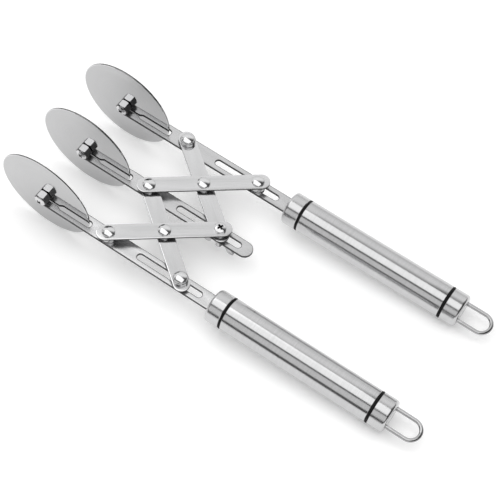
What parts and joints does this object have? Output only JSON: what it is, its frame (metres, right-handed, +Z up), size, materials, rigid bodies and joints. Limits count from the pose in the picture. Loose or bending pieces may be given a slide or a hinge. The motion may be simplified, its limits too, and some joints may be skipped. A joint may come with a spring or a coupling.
{
  "type": "expandable dough cutter",
  "caption": "Hand-held dough cutter: thin round blades spin in forked stems that spread apart on a riveted lazy-tongs linkage, with round steel grips and hanging loops.",
  "frame": {"origin": "on the table under the middle of the part's box, at its rest pose", "axes": "+X to the right across the stems, +Y forward from the grips to the discs, +Z up from the table"},
  "size_m": [0.098, 0.2838, 0.062],
  "materials": {
    "stem_steel": "satin, fine lengthwise grain",
    "link_steel": "satin, fine lengthwise grain",
    "disc_steel": "ground and polished, near mirror",
    "screw_steel": "polished",
    "nut_steel": "bright",
    "rivet_steel": "polished",
    "spacer_steel": "turned",
    "cap_steel": "satin polished",
    "tube_steel": "brushed around the tube",
    "loop_steel": "polished",
    "ring_rubber": "matt black"
  },
  "bodies": {
    "middle": {"middle_stem": "stem_steel", "middle_axle_screw": "screw_steel", "middle_head_nut": "nut_steel", "middle_end_nut": "nut_steel", "front_middle_rivet": "rivet_steel", "front_middle_low_spacer": "spacer_steel", "front_middle_high_spacer": "spacer_steel"},
    "upper_right": {"upper_right_link": "link_steel", "cross_right_rivet": "rivet_steel", "cross_right_spacer": "spacer_steel", "slide_right_rivet": "rivet_steel", "slide_right_spacer": "spacer_steel", "slide_right_washer": "spacer_steel"},
    "lower_right": {"lower_right_link": "link_steel"},
    "right": {"right_stem": "stem_steel", "right_axle_screw": "screw_steel", "right_head_nut": "nut_steel", "right_end_nut": "nut_steel", "front_right_rivet": "rivet_steel", "front_right_low_spacer": "spacer_steel", "front_right_high_spacer": "spacer_steel", "right_front_cap": "cap_steel", "right_front_ring": "ring_rubber", "right_grip_tube": "tube_steel", "right_rear_ring": "ring_rubber", "right_rear_cap": "cap_steel", "right_hang_loop": "loop_steel"},
    "lower_left": {"lower_left_link": "link_steel", "slide_left_rivet": "rivet_steel", "slide_left_low_spacer": "spacer_steel", "slide_left_high_spacer": "spacer_steel", "slide_left_washer": "spacer_steel"},
    "upper_left": {"upper_left_link": "link_steel", "cross_left_rivet": "rivet_steel", "cross_left_spacer": "spacer_steel", "lock_screw": "screw_steel", "lock_low_spacer": "spacer_steel", "lock_high_spacer": "spacer_steel", "lock_washer": "spacer_steel"},
    "left": {"left_stem": "stem_steel", "left_axle_screw": "screw_steel", "left_head_nut": "nut_steel", "left_end_nut": "nut_steel", "front_left_rivet": "rivet_steel", "front_left_spacer": "spacer_steel", "left_front_cap": "cap_steel", "left_front_ring": "ring_rubber", "left_grip_tube": "tube_steel", "left_rear_ring": "ring_rubber", "left_rear_cap": "cap_steel", "left_hang_loop": "loop_steel"},
    "left_wheel": {"left_disc": "disc_steel"},
    "middle_wheel": {"middle_disc": "disc_steel"},
    "right_wheel": {"right_disc": "disc_steel"},
    "wing": {"wing_nut": "nut_steel"}
  },
  "joints": [
    {"name": "spread", "type": "hinge", "parent": "middle", "child": "upper_right", "pos_m": [0, 0.06658, 0.02408], "axis": [0, -0.0711, 0.9975], "range_deg": [-22.57, 30.09]},
    {"name": "right_cross", "type": "hinge", "parent": "upper_right", "child": "lower_right", "pos_m": [0.0195, 0.04159, 0.0223], "axis": [0, -0.0711, 0.9975], "range_deg": [-60.23, 45.19]},
    {"name": "right_front", "type": "hinge", "parent": "lower_right", "child": "right", "pos_m": [0.039, 0.06658, 0.02408], "axis": [0, -0.0711, 0.9975], "range_deg": [-22.62, 30.14]},
    {"name": "left_rear_link", "type": "hinge", "parent": "middle", "child": "lower_left", "pos_m": [0, 0.06658, 0.02408], "axis": [0, -0.0711, 0.9975], "range_deg": [-30.14, 22.62]},
    {"name": "left_cross", "type": "hinge", "parent": "lower_left", "child": "upper_left", "pos_m": [-0.0195, 0.04159, 0.0223], "axis": [0, -0.0711, 0.9975], "range_deg": [-45.19, 60.23]},
    {"name": "left_front", "type": "hinge", "parent": "upper_left", "child": "left", "pos_m": [-0.039, 0.06658, 0.02408], "axis": [0, -0.0711, 0.9975], "range_deg": [-30.14, 22.62]},
    {"name": "left_disc_spin", "type": "hinge", "parent": "left", "child": "left_wheel", "pos_m": [-0.039, 0.1109, 0.031], "axis": [1, 0, 0], "continuous": true},
    {"name": "middle_disc_spin", "type": "hinge", "parent": "middle", "child": "middle_wheel", "pos_m": [0, 0.1109, 0.031], "axis": [1, 0, 0], "continuous": true},
    {"name": "right_disc_spin", "type": "hinge", "parent": "right", "child": "right_wheel", "pos_m": [0.039, 0.1109, 0.031], "axis": [1, 0, 0], "continuous": true},
    {"name": "wing_nut_turn", "type": "hinge", "parent": "upper_left", "child": "wing", "pos_m": [0, 0.01659, 0.02052], "axis": [0, -0.0711, 0.9975], "continuous": true}
  ],
  "couplings": [
    {"joint": "right_cross", "follows": "spread", "ratio": -2},
    {"joint": "right_front", "follows": "spread", "ratio": 1},
    {"joint": "left_rear_link", "follows": "spread", "ratio": -1},
    {"joint": "left_cross", "follows": "spread", "ratio": 2},
    {"joint": "left_front", "follows": "spread", "ratio": -1}
  ]
}
